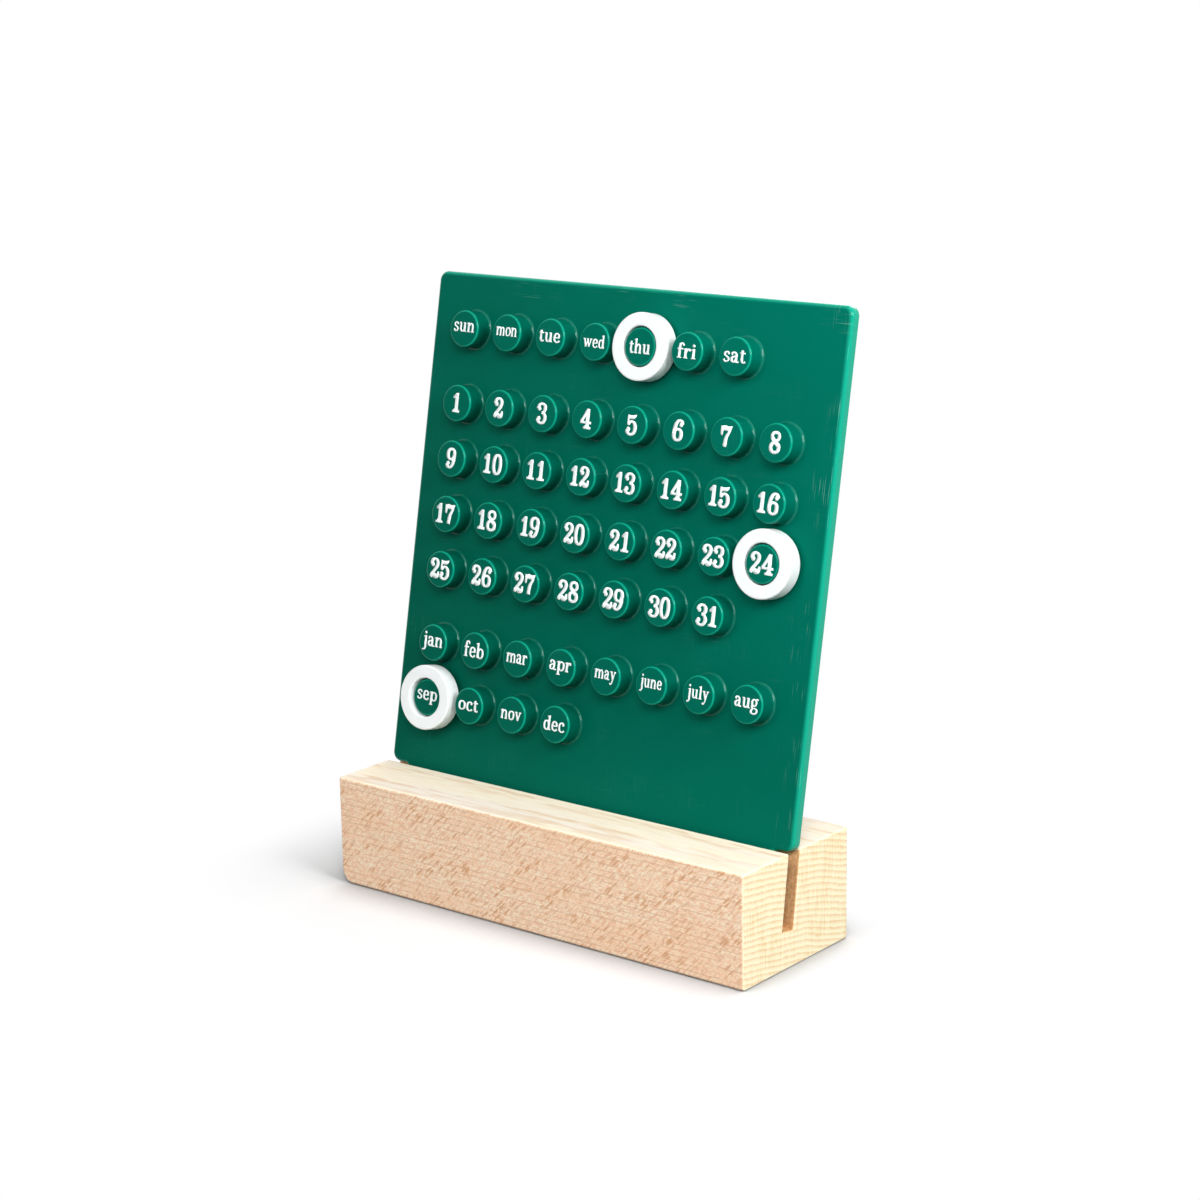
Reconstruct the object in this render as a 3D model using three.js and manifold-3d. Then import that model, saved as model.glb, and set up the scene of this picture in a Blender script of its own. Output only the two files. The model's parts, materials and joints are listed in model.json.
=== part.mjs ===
// A perpetual desk calendar. A moulded panel with rows of studs leans back in the slanted slot of
// a wood block, and three loose rings mark the weekday, the date and the month. The panel and its
// studs are one moulding, and each stud has a mesh of its own, so that it can be found by name.
// Millimetres. X runs along the block, the panel faces -Y and +Z is up. The origin is the centre
// of the block's underside.

import * as THREE from 'three';
import { mergeVertices } from 'three/addons/utils/BufferGeometryUtils.js';
import Module from 'manifold-3d';

// Studs on the panel
const stud_diameter = 9.6;
const stud_height = 4.9;
const stud_rim_ease = 0.4;
const stud_seat_gap = 0.3;
const stud_wall = 1.8;

// Rings: the gaps leave room for a ring on any stud, beside its neighbours
const ring_bore_clearance = 0.3;
const ring_band = 3.4;
const ring_thickness = 4.3;
const ring_edge_ease = 0.4;
const ring_side_gap = 1.1;
const ring_row_gap = 1.2;
const ring_stand_off = 0.9;
const month_ring_lift = 0.8;

// Rows of studs, from the top: weekdays, dates, months
const stud_rows = [
  ['sun', 'mon', 'tue', 'wed', 'thu', 'fri', 'sat'],
  dates(1, 8),
  dates(9, 16),
  dates(17, 24),
  dates(25, 31),
  ['jan', 'feb', 'mar', 'apr', 'may', 'june', 'july', 'aug'],
  ['sep', 'oct', 'nov', 'dec'],
];
const rows_that_start_a_group = [1, 5];
const group_gap = 4.85;

// The studs that carry the rings
const weekday_shown = 'thu';
const date_shown = '24';
const month_shown = 'sep';

// Panel: margins are from its edges to the nearest stud centres
const panel_thickness = 3;
const side_margin = 14.6;
const top_margin = 14.6;
const bottom_margin = 19.4;
const panel_corner_radius = 2.5;
const panel_front_round = 1.2;
const tongue_inset = 6;
const tongue_corner_radius = 1.5;
const shoulder_relief_radius = 1.4;
const shoulder_sink = 1;

// Wood block
const block_depth = 44;
const block_height = 29;
const block_edge_ease = 0.4;

// Slot sawn through the block from end to end, with play around the panel
const slot_play = 1.4;
const slot_lean_degrees = 8.6;
const slot_mouth_forward = 0.65;
const slot_side_gap = 0.25;
const slot_floor_gap = 0.3;
const wood_under_slot = 9.6;

// How far a cutting or joining body runs past the face it meets
const overrun = 0.5;

// Facets
const stud_sides = 24;
const recess_sides = 12;
const ring_sides = 40;
const corner_segments = 5;
const round_segments = 2;

const columns = Math.max(...stud_rows.map((row) => row.length));
const stud_radius = stud_diameter / 2;
const recess_radius = stud_radius - stud_wall;
const ring_bore_radius = stud_radius + ring_bore_clearance;
const ring_outer_radius = ring_bore_radius + ring_band;

const column_pitch = stud_radius + ring_outer_radius + ring_side_gap;
const row_pitch = stud_radius + ring_outer_radius + ring_row_gap;
const rows_height = stud_rows.reduce((sum, names, row) => sum + step_above(row), 0);
const panel_width = column_pitch * (columns - 1) + 2 * side_margin;
const face_height = top_margin + rows_height + bottom_margin;
const block_length = panel_width;

// The slot is wider than the panel, so the panel leans back in it, from the front wall at the
// floor to the back lip at the mouth, and leans further than the slot does.
const slot_lean = THREE.MathUtils.degToRad(slot_lean_degrees);
const slot_width = panel_thickness + slot_play;
const slot_depth = (block_height - wood_under_slot) / Math.cos(slot_lean);
const rock = Math.atan2(slot_play - 2 * slot_side_gap, slot_depth);
const panel_lean = slot_lean + rock;
const back_lip_y = slot_width / 2 / Math.cos(slot_lean) - slot_mouth_forward;
const lip_to_floor = slot_depth + (slot_width / 2) * Math.tan(slot_lean);
const tongue_foot_y = -(lip_to_floor - slot_floor_gap) / Math.cos(rock);

// The panel's own frame: x along the block, y up the panel and z out of its face, with z = 0 on
// its back and the origin beside the slot's back lip.
const face_bottom_y = -shoulder_sink;
const face_top_y = face_bottom_y + face_height;
const face_left_x = -panel_width / 2;

const wasm = await Module();
wasm.setup();

/** The dates from one day of the month to another, as stud names. */
function dates(first, last) {
  return Array.from({ length: last - first + 1 }, (_, index) => String(first + index));
}

/** Distance between a row and the row above it; the first row has none above it. */
function step_above(row) {
  if (row === 0) return 0;
  return rows_that_start_a_group.includes(row) ? row_pitch + group_gap : row_pitch;
}

function column_x(column) {
  return face_left_x + side_margin + column_pitch * column;
}

function row_y(row) {
  let y = face_top_y - top_margin;
  for (let above = 1; above <= row; above++) y -= step_above(above);
  return y;
}

/** Every stud's name, and its centre on the panel. */
function studs() {
  return stud_rows.flatMap((names, row) =>
    names.map((name, column) => ({ name, x: column_x(column), y: row_y(row) })));
}

/** A closed three.js geometry as a solid that can be joined and cut. */
function solid_of(geometry) {
  geometry.deleteAttribute('normal');
  geometry.deleteAttribute('uv');
  const merged = mergeVertices(geometry);
  return new wasm.Manifold(new wasm.Mesh({
    numProp: 3,
    vertProperties: new Float32Array(merged.attributes.position.array),
    triVerts: new Uint32Array(merged.index.array),
  }));
}

function geometry_of(solid) {
  const mesh = solid.getMesh();
  const geometry = new THREE.BufferGeometry();
  geometry.setAttribute('position', new THREE.BufferAttribute(mesh.vertProperties, 3));
  geometry.setIndex(new THREE.BufferAttribute(mesh.triVerts, 1));
  geometry.computeVertexNormals();
  return geometry;
}

/** Turns each named corner of a polygon into a straight ease of the given size. */
function eased_outline(corners) {
  const points = corners.flatMap(({ at, ease }, index) => {
    if (ease === 0) return [at];
    const before = corners.at(index - 1).at;
    const after = corners[(index + 1) % corners.length].at;
    const towards = (other) => other.clone().sub(at).setLength(ease).add(at);
    return [towards(before), towards(after)];
  });
  return new THREE.Shape(points);
}

/** Block section in the Y-Z plane, with the slanted slot open at the top. */
function block_section() {
  const front = -block_depth / 2;
  const back = block_depth / 2;
  const mouth = new THREE.Vector2(-slot_mouth_forward, block_height);
  const down_slot = new THREE.Vector2(-Math.sin(slot_lean), -Math.cos(slot_lean));
  const across_slot = new THREE.Vector2(Math.cos(slot_lean), -Math.sin(slot_lean));
  const mouth_half_width = slot_width / 2 / Math.cos(slot_lean);
  const floor = mouth.clone().addScaledVector(down_slot, slot_depth);
  const corner = (y, z, ease) => ({ at: new THREE.Vector2(y, z), ease });
  const floor_corner = (side) => ({
    at: floor.clone().addScaledVector(across_slot, side * slot_width / 2),
    ease: 0,
  });
  return eased_outline([
    corner(front, 0, block_edge_ease),
    corner(back, 0, block_edge_ease),
    corner(back, block_height, block_edge_ease),
    corner(mouth.x + mouth_half_width, block_height, block_edge_ease),
    floor_corner(1),
    floor_corner(-1),
    corner(mouth.x - mouth_half_width, block_height, block_edge_ease),
    corner(front, block_height, block_edge_ease),
  ]);
}

/** The section carried along the block, with its ends eased. */
function block_geometry() {
  const straight_length = block_length - 2 * block_edge_ease;
  const geometry = new THREE.ExtrudeGeometry(block_section(), {
    depth: straight_length,
    bevelEnabled: true,
    bevelThickness: block_edge_ease,
    bevelSize: block_edge_ease,
    bevelOffset: -block_edge_ease,
    bevelSegments: 1,
  });
  geometry.translate(0, 0, -straight_length / 2);
  return geometry_of(solid_of(geometry));
}

/** Panel outline: a face with round corners, and a narrower tongue below it. */
function panel_outline() {
  const right = panel_width / 2;
  const tongue_right = right - tongue_inset;
  const radius = panel_corner_radius;
  const relief = shoulder_relief_radius;
  const foot = tongue_corner_radius;
  const quarter = Math.PI / 2;
  const shape = new THREE.Shape();
  shape.moveTo(-tongue_right + foot, tongue_foot_y);
  shape.absarc(tongue_right - foot, tongue_foot_y + foot, foot, -quarter, 0);
  shape.absarc(tongue_right + relief, face_bottom_y - relief, relief, 2 * quarter, quarter, true);
  shape.absarc(right - radius, face_bottom_y + radius, radius, -quarter, 0);
  shape.absarc(right - radius, face_top_y - radius, radius, 0, quarter);
  shape.absarc(-right + radius, face_top_y - radius, radius, quarter, 2 * quarter);
  shape.absarc(-right + radius, face_bottom_y + radius, radius, 2 * quarter, 3 * quarter);
  shape.absarc(-tongue_right - relief, face_bottom_y - relief, relief, quarter, 0, true);
  shape.absarc(-tongue_right + foot, tongue_foot_y + foot, foot, 2 * quarter, 3 * quarter);
  return shape;
}

/** The flat moulding: its front edges are rounded and its back edges are square. */
function plate_solid() {
  const straight = panel_thickness - panel_front_round + overrun;
  const plate = new THREE.ExtrudeGeometry(panel_outline(), {
    depth: straight,
    curveSegments: corner_segments,
    bevelEnabled: true,
    bevelThickness: panel_front_round,
    bevelSize: panel_front_round,
    bevelOffset: -panel_front_round,
    bevelSegments: round_segments,
  });
  plate.translate(0, 0, -overrun);
  const behind = panel_front_round + 2 * overrun;
  const plate_height = face_top_y - tongue_foot_y;
  const trim = new THREE.BoxGeometry(panel_width + 2 * overrun, plate_height + 2 * overrun, behind);
  trim.translate(0, face_top_y - plate_height / 2, -behind / 2);
  return solid_of(plate).subtract(solid_of(trim));
}

/** A turned body about the panel's z axis, from its outline as [radius, height] pairs. */
function turned(outline, sides) {
  const points = outline.map(([radius, height]) => new THREE.Vector2(radius, height));
  return new THREE.LatheGeometry(points, sides).rotateX(Math.PI / 2);
}

/** A stud about the panel's z axis. */
function stud_geometry() {
  const foot = panel_thickness + stud_seat_gap;
  const top = panel_thickness + stud_height;
  const stud = turned([
    [0, foot],
    [stud_radius, foot],
    [stud_radius, top - stud_rim_ease],
    [stud_radius - stud_rim_ease, top],
    [0, top],
  ], stud_sides);
  return geometry_of(solid_of(stud));
}

/** The recess behind a stud, as deep as the plate, which thins the moulding there. */
function recess_geometry() {
  return turned([
    [0, -overrun],
    [recess_radius, -overrun],
    [recess_radius, panel_thickness + overrun],
    [0, panel_thickness + overrun],
  ], recess_sides);
}

/** The plate with a recess cut behind each stud. */
function plate_geometry() {
  const recess = solid_of(recess_geometry());
  const recesses = studs().map(({ x, y }) => recess.translate([x, y, 0]));
  return geometry_of(plate_solid().subtract(wasm.Manifold.union(recesses)));
}

function ring_geometry() {
  const inner = ring_bore_radius;
  const outer = ring_outer_radius;
  const ease = ring_edge_ease;
  const top = ring_thickness;
  const outline = turned([
    [inner, ease],
    [inner + ease, 0],
    [outer - ease, 0],
    [outer, ease],
    [outer, top - ease],
    [outer - ease, top],
    [inner + ease, top],
    [inner, top - ease],
    [inner, ease],
  ], ring_sides);
  return geometry_of(solid_of(outline));
}

function named_mesh(name, geometry, material) {
  const mesh = new THREE.Mesh(geometry, material);
  mesh.name = name;
  return mesh;
}

function beech_material() {
  return new THREE.MeshStandardMaterial({ color: 0xe2bf98, roughness: 0.6, metalness: 0 });
}

function panel_material() {
  return new THREE.MeshStandardMaterial({ color: 0x006e57, roughness: 0.25, metalness: 0 });
}

function ring_material() {
  return new THREE.MeshStandardMaterial({ color: 0xf4f5f2, roughness: 0.45, metalness: 0 });
}

function wood_block() {
  const mesh = named_mesh('wood_block', block_geometry(), beech_material());
  mesh.rotation.set(Math.PI / 2, Math.PI / 2, 0);
  return mesh;
}

function stud_mesh({ name, x, y }) {
  const mesh = named_mesh(`stud_${name}`, stud_geometry(), panel_material());
  mesh.position.set(x, y, 0);
  return mesh;
}

/** A ring on the stud shown, its back face the stand-off in front of the panel. */
function marker_ring(name, shown, stand_off) {
  const { x, y } = studs().find((stud) => stud.name === shown);
  const mesh = named_mesh(name, ring_geometry(), ring_material());
  mesh.position.set(x, y, panel_thickness + stand_off);
  return mesh;
}

/** The panel, its studs and the rings, leaned back together in the slot. */
function leaning_panel() {
  const group = new THREE.Group();
  group.position.set(
    0,
    back_lip_y - slot_side_gap * Math.cos(panel_lean),
    block_height + slot_side_gap * Math.sin(panel_lean),
  );
  group.rotation.x = Math.PI / 2 - panel_lean;
  group.add(named_mesh('panel_plate', plate_geometry(), panel_material()));
  for (const stud of studs()) group.add(stud_mesh(stud));
  group.add(marker_ring('weekday_ring', weekday_shown, ring_stand_off));
  group.add(marker_ring('date_ring', date_shown, ring_stand_off));
  group.add(marker_ring('month_ring', month_shown, ring_stand_off + month_ring_lift));
  return group;
}

const calendar = new THREE.Group();
calendar.add(wood_block());
calendar.add(leaning_panel());

export default calendar;
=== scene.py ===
# %% [markdown]
# # A perpetual desk calendar
# A green moulded panel carries fifty round studs with the days, dates and months printed on
# them. It leans in a slot along a beech block, and three loose white rings mark the day.
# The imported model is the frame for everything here: it has the block, the panel's plate, its
# studs and the rings at their real size. What is made below has the rounds, the print and
# the finishes that the real object has, and takes its places and sizes from that frame.

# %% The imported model
import json
import math

import bpy
import numpy as np
from mathutils import Matrix, Vector
from mathutils.geometry import delaunay_2d_cdt


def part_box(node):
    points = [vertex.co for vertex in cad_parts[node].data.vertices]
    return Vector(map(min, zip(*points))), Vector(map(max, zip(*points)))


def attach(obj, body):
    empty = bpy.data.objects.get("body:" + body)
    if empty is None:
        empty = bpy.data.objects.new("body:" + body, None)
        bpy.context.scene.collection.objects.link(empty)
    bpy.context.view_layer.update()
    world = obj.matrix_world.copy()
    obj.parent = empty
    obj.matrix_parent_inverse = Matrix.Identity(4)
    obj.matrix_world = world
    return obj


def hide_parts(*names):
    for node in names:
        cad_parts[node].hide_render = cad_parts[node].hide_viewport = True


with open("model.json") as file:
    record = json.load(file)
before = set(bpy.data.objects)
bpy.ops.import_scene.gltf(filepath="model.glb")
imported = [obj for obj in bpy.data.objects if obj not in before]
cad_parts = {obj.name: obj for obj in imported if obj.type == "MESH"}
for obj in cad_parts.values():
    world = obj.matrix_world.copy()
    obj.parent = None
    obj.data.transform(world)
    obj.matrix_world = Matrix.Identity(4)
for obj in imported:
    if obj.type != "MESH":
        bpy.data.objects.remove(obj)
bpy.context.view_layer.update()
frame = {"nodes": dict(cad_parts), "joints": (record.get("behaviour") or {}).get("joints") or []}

MM = 0.001

# %% [markdown]
# ## The panel's own axes
# The panel leans back, so its studs are easiest to make on a flat sheet and then to lean back
# with it. The sheet's x runs along the block, its y runs up the panel, in the direction in
# which the panel lifts out, and its z points out of the face, in the direction in which a
# ring pulls off. Both directions are in the record's joints. A plain rotation would do too,
# but reading the joints keeps the picture right if the lean of the panel changes.

# %% The sheet's axes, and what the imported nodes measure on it
joint_axes = {joint["name"]: joint["axis"] for joint in frame["joints"]}
SHEET_AXES = np.array([[1, 0, 0], joint_axes["panel_lift"], joint_axes["date_ring_pull"]], float)
SHEET_AXES /= np.linalg.norm(SHEET_AXES, axis=1, keepdims=True)


def points_of(node):
    """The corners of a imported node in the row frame, one row for each, in metres."""
    mesh = frame["nodes"][node].data
    points = np.empty(len(mesh.vertices) * 3)
    mesh.vertices.foreach_get("co", points)
    return points.reshape(-1, 3)


def sheet_box(node):
    """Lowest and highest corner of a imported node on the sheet: min and max of p . axis."""
    on_sheet = points_of(node) @ SHEET_AXES.T
    return on_sheet.min(axis=0), on_sheet.max(axis=0)


plate_low, plate_high = sheet_box("panel_plate")
SHEET_ORIGIN = np.array([0, 0, plate_low[2]])
STUD_NODES = [node for node in frame["nodes"] if node.startswith("stud_")]
RING_NODES = ["weekday_ring", "date_ring", "month_ring"]
stud_boxes = {node.removeprefix("stud_"): np.array(sheet_box(node)) for node in STUD_NODES}
STUDS = {name: (box[0] + box[1])[:2] / 2 for name, box in stud_boxes.items()}
stud_top = max(box[1][2] for box in stud_boxes.values()) - SHEET_ORIGIN[2]
stud_radius = max((box[1] - box[0])[0] for box in stud_boxes.values()) / 2
plate_thickness = plate_high[2] - plate_low[2]
print(f"{len(STUDS)} studs, radius {stud_radius / MM:.2f} mm, tops {stud_top / MM:.2f} mm",
      f"from the back, plate {plate_thickness / MM:.2f} mm thick")


def lean_back(points):
    """Sheet to row frame: origin + x X + y Y + z Z, with the back of the plate at z = 0."""
    return (np.asarray(points) + SHEET_ORIGIN) @ SHEET_AXES


# %% [markdown]
# ## Surfaces as grids
# Most pieces here are a profile carried round something: round an axis for a stud or a ring,
# and round an outline for the edges of the panel and the block. Blender's Bevel modifier
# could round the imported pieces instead, but it leaves long thin faces on a plate with fifty
# holes, and they shade badly. With a grid the direction of the surface is known exactly at
# each point, from the same formula as the point itself.

# %% Profiles with their directions, and grids of faces
def arc(centre, radius, start, end, steps, inside=False):
    """Points c + r (cos a, sin a) with their outward directions, or inward for a hollow."""
    angle = np.radians(np.linspace(start, end, steps + 1))
    direction = np.stack([np.cos(angle), np.sin(angle)], axis=1)
    points = np.asarray(centre) + radius * direction
    return np.hstack([points, -direction if inside else direction])


def grid_faces(rows, columns, wrap=True):
    """Quads between neighbouring rows and columns of a grid, closed round the columns."""
    row = np.arange(rows - 1)[:, None] * columns
    column = np.arange(columns if wrap else columns - 1)[None, :]
    after = (column + 1) % columns
    corners = [row + column, row + after, row + columns + after, row + columns + column]
    return np.stack(np.broadcast_arrays(*corners), axis=-1).reshape(-1, 4)


def lathe(profile, sides):
    """(r, z) turned about z: (r cos t, r sin t, z), and its direction turned the same way."""
    turn = np.linspace(0, 2 * np.pi, sides, endpoint=False)
    r, z, out, up = (profile[:, k, None] for k in range(4))
    cos, sin = np.cos(turn)[None, :], np.sin(turn)[None, :]
    points = np.stack(np.broadcast_arrays(r * cos, r * sin, z), axis=-1).reshape(-1, 3)
    normals = np.stack(np.broadcast_arrays(out * cos, out * sin, up), axis=-1).reshape(-1, 3)
    return points, normals, grid_faces(len(profile), sides)


def at_places(points, normals, faces, places):
    """The same surface at each place: every point plus the place, and its faces shifted on."""
    count = len(places)
    moved = (points[None] + places[:, None, :]).reshape(-1, 3)
    shifts = np.arange(count)[:, None, None] * len(points)
    return moved, np.tile(normals, (count, 1)), (faces[None] + shifts).reshape(-1, faces.shape[1])


# %% [markdown]
# ## Outlines with round corners
# The panel's face and the block's section are both outlines with rounded corners, inside and
# outside ones. A curve object could be bevelled for this, but an outline of points with their
# directions does more: moved along its directions it gives the edge's round at each step, and
# the two flat faces meet that edge in the same points, so that nothing shows a seam.

# %% Rounded outlines, flat faces and the edges between them
FILL_GRID = 1e-9


def rounded_outline(corners, radii, steps):
    """Corners, anticlockwise, each turned into an arc that touches both of its sides.

    For a turn of t between the sides the arc starts r tan(t / 2) before the corner.
    """
    corners = np.asarray(corners, float)
    pieces = []
    for index, radius in enumerate(radii):
        at = corners[index]
        before = at - corners[index - 1]
        after = corners[(index + 1) % len(corners)] - at
        before /= np.linalg.norm(before)
        after /= np.linalg.norm(after)
        turn = math.atan2(before[0] * after[1] - before[1] * after[0], before @ after)
        start = at - before * radius * math.tan(abs(turn) / 2)
        side = math.copysign(1, turn)
        centre = start + side * radius * np.array([-before[1], before[0]])
        first = math.degrees(math.atan2(*(start - centre)[::-1]))
        pieces.append(arc(centre, radius, first, first + math.degrees(turn), steps, side < 0))
    return np.vstack(pieces)


def edge_band(outline, edge):
    """An outline (p, n) carried through an edge (inset, z, out, up): p - inset n at z."""
    inset, height, out, up = (edge[:, k, None] for k in range(4))
    x, y, nx, ny = (outline[None, :, k] for k in range(4))
    points = np.stack(np.broadcast_arrays(x - inset * nx, y - inset * ny, height), axis=-1)
    normals = np.stack(np.broadcast_arrays(out * nx, out * ny, up), axis=-1)
    return points.reshape(-1, 3), normals.reshape(-1, 3), grid_faces(len(edge), len(outline))


def flat_face(outline, holes, height, up, rungs=()):
    """Triangles that fill an outline around its holes, at one height, facing up or down.

    A rung is a pair of the outline's points that one straight edge is to join.
    """
    loops = [outline, *holes]
    starts = np.cumsum([0] + [len(loop) for loop in loops])
    rings = [list(range(start, end)) for start, end in zip(starts, starts[1:])]
    flat = [Vector(point) for point in np.vstack(loops)]
    filled = delaunay_2d_cdt(flat, list(rungs), rings, 1, FILL_GRID, True)
    inside = [face for face, source in zip(filled[2], filled[5]) if list(source) == [0]]
    points = np.array([[point.x, point.y, height] for point in filled[0]])
    return points, np.tile([0, 0, up], (len(points), 1)), np.array(inside)


# %% [markdown]
# ## From surfaces to a piece
# A piece is put together from its surfaces by joining the points that fall on each other, to
# the nearest tenth of a micron, so that it comes out as one closed skin. The points are first
# brought to the single precision of Blender's meshes, because the filled flat faces come back
# in it. Merging by distance in Blender does the same, but numpy keeps each point's exact
# direction, which the mesh then shades with. Faces are turned to agree with those directions,
# so they all point outwards.

# %% Joining surfaces into one piece
JOIN_GRID = 1e-7


def join(surfaces):
    """One list of points and faces from several surfaces, with equal points made one."""
    points = np.vstack([surface[0] for surface in surfaces]).astype(np.float32).astype(float)
    normals = np.vstack([surface[1] for surface in surfaces])
    starts = np.cumsum([0] + [len(surface[0]) for surface in surfaces])
    keys = np.round(points / JOIN_GRID).astype(np.int64)
    _, first, same = np.unique(keys, axis=0, return_index=True, return_inverse=True)
    triangles = []
    for start, (_, _, faces) in zip(starts, surfaces):
        faces = same.reshape(-1)[faces + start]
        triangles.append(faces[:, :3])
        if faces.shape[1] == 4:
            triangles.append(faces[:, [0, 2, 3]])
    triangles = np.vstack(triangles)
    a, b, c = triangles.T
    triangles = triangles[(a != b) & (b != c) & (c != a)]
    points, normals = points[first], normals[first]
    a, b, c = (points[triangles[:, k]] for k in range(3))
    facing = np.einsum("ij,ij->i", np.cross(b - a, c - a), normals[triangles].sum(axis=1))
    triangles[facing < 0] = triangles[facing < 0][:, ::-1]
    return points, normals, triangles


def make_piece(name, points, normals, triangles, materials, body,
               face_material=None, edges=None):
    """A mesh object at the origin that rides on a body, with exact shading directions.

    A face's material and a point's three edge values, where given, go in as attributes.
    """
    mesh = bpy.data.meshes.new(name)
    mesh.vertices.add(len(points))
    mesh.vertices.foreach_set("co", points.ravel())
    mesh.loops.add(triangles.size)
    mesh.loops.foreach_set("vertex_index", triangles.ravel().astype(np.int32))
    mesh.polygons.add(len(triangles))
    mesh.polygons.foreach_set("loop_start", np.arange(0, triangles.size, 3, dtype=np.int32))
    for material in materials:
        mesh.materials.append(material)
    if face_material is not None:
        mesh.polygons.foreach_set("material_index", face_material.astype(np.int32))
    if edges is not None:
        colours = np.hstack([edges, np.ones((len(edges), 1))])
        attribute = mesh.attributes.new("edges", "FLOAT_COLOR", "POINT")
        attribute.data.foreach_set("color", colours.ravel())
    mesh.update()
    mesh.validate()
    if normals is not None:
        lengths = np.linalg.norm(normals, axis=1, keepdims=True)
        mesh.normals_split_custom_set_from_vertices(normals / lengths)
    piece = bpy.data.objects.new(name, mesh)
    bpy.context.scene.collection.objects.link(piece)
    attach(piece, body)
    print(f"{name}: {len(triangles)} triangles")
    return piece


# %% [markdown]
# ## Shader sums as Python
# The finishes are sums of patterns. A node for each plus and times is hard to read, so a
# small class stands for one output of a node and Python's own signs add the Math nodes.
# Patterns read Object coordinates: every piece's object sits at the origin, so they stay put
# on the piece when it moves, and they are in metres on all pieces alike.

# %% A number or vector that varies over a surface
class Field:
    """One output of a node in a material's tree, with + - * / ** as Math nodes."""

    def __init__(self, finish, socket):
        self.finish = finish
        self.socket = socket

    def __add__(self, other):
        return self.finish.sum("ADD", self, other)

    def __sub__(self, other):
        return self.finish.sum("SUBTRACT", self, other)

    def __mul__(self, other):
        return self.finish.sum("MULTIPLY", self, other)

    def __truediv__(self, other):
        return self.finish.sum("DIVIDE", self, other)

    def __pow__(self, other):
        return self.finish.sum("POWER", self, other)

    def __rsub__(self, other):
        return self.finish.sum("SUBTRACT", other, self)

    __radd__ = __add__
    __rmul__ = __mul__


# %% [markdown]
# A finish is one material. Its class makes any node from a type, its settings and the values
# or links of its sockets, and has short names for the few patterns that are used here. What
# is the same all over a surface is set on the shader's own socket, because the export keeps
# a plain value there and may drop a linked one.

# %% A material and the nodes that feed it
class Finish:
    """A material built on one Principled shader, and the nodes that feed it."""

    def __init__(self, name, **constants):
        self.material = bpy.data.materials.new(name)
        self.material.use_nodes = True
        self.tree = self.material.node_tree
        self.shader = self.tree.nodes["Principled BSDF"]
        for socket, value in constants.items():
            self.shader.inputs[socket.replace("_", " ")].default_value = value
        here = self.node("ShaderNodeTexCoord", output="Object")
        x, y, z = (self.node("ShaderNodeSeparateXYZ", {}, {0: here}, output=axis) for axis in "XYZ")
        self.x, self.y, self.z, self.here = x, y, z, here

    def node(self, kind, settings=None, sockets=None, output=0):
        """A node with its settings made first, then its sockets' values or links."""
        node = self.tree.nodes.new(kind)
        for setting, value in (settings or {}).items():
            setattr(node, setting, value)
        for socket, value in (sockets or {}).items():
            if isinstance(value, Field):
                self.tree.links.new(value.socket, node.inputs[socket])
            else:
                node.inputs[socket].default_value = value
        return Field(self, node.outputs[output])

    def sum(self, operation, *values):
        """A Math node: one operation on one or two values."""
        return self.node("ShaderNodeMath", {"operation": operation}, dict(enumerate(values)))

    def ramp(self, value, low, high):
        """0 below low, 1 above high and a smooth step between them; high may be the lower."""
        settings = {"interpolation_type": "SMOOTHSTEP"}
        sockets = {"Value": value, "From Min": low, "From Max": high}
        return self.node("ShaderNodeMapRange", settings, sockets)

    def blend(self, factor, first, second):
        """Colours: first where the factor is 0 and second where it is 1."""
        colours = [c if isinstance(c, Field) else (*c, 1) for c in (first, second)]
        sockets = {0: factor, 6: colours[0], 7: colours[1]}
        return self.node("ShaderNodeMix", {"data_type": "RGBA"}, sockets, output=2)

    def point(self, x, y, z):
        """A place to read a pattern at; a coordinate that is divided stretches the pattern."""
        return self.node("ShaderNodeCombineXYZ", {}, {0: x, 1: y, 2: z})

    def noise(self, where, size, detail=2.0, roughness=0.5):
        """Soft noise from 0 to 1, its features about one size across, in metres."""
        sockets = {"Vector": where, "Scale": 1 / size, "Detail": detail, "Roughness": roughness}
        return self.node("ShaderNodeTexNoise", {}, sockets)

    def cells(self, where, size, output="Distance"):
        """Scattered spots on the plane of a point's first two coordinates."""
        sockets = {"Vector": where, "Scale": 1 / size}
        return self.node("ShaderNodeTexVoronoi", {"voronoi_dimensions": "2D"}, sockets, output)

    def feed(self, **sockets):
        """Links fields to the shader's sockets, named with _ for each space."""
        for socket, value in sockets.items():
            self.tree.links.new(value.socket, self.shader.inputs[socket.replace("_", " ")])

    def bump(self, height, strength, distance):
        """Normals tilted by a height pattern; distance is how high its 1 stands, in metres."""
        sockets = {"Strength": strength, "Distance": distance, "Height": height}
        self.feed(Normal=self.node("ShaderNodeBump", {}, sockets))


# %% [markdown]
# ## Green plastic
# The panel is one glossy injection moulding in deep blue-green. Its colour is painted lighter
# towards the upper right and darker towards the lower left: painted light and sheen. The plate
# has faint cooling unevenness, and handling has left hairline scuffs along its top and its right
# side. A single glossy colour would look like a screen, so these break it up. Rims and edges
# catch more light than the flats: the moulding marks them in an attribute of its points, and
# they get a painted highlight in a lighter green, and some clear coat.
# The specular tint keeps the reflected white of the room from greying the colour, which is
# deeper than a screen can show.

# %% The panel's finish
GREEN_DEEP, GREEN_FRESH = (0.0, 0.070, 0.041), (0.0, 0.146, 0.099)
GREEN_SCUFFED, GREEN_EDGE_HIGHLIGHT = (0.2, 0.46, 0.4), (0.0, 0.42, 0.27)
SCUFF_WIDTH = 0.25 * MM
SCUFF_STRETCH = 40
SCUFFS_FROM_TOP = 9 * MM
SCUFFS_FROM_SIDE = 8 * MM
SCUFFS_FULL = 3 * MM


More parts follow.
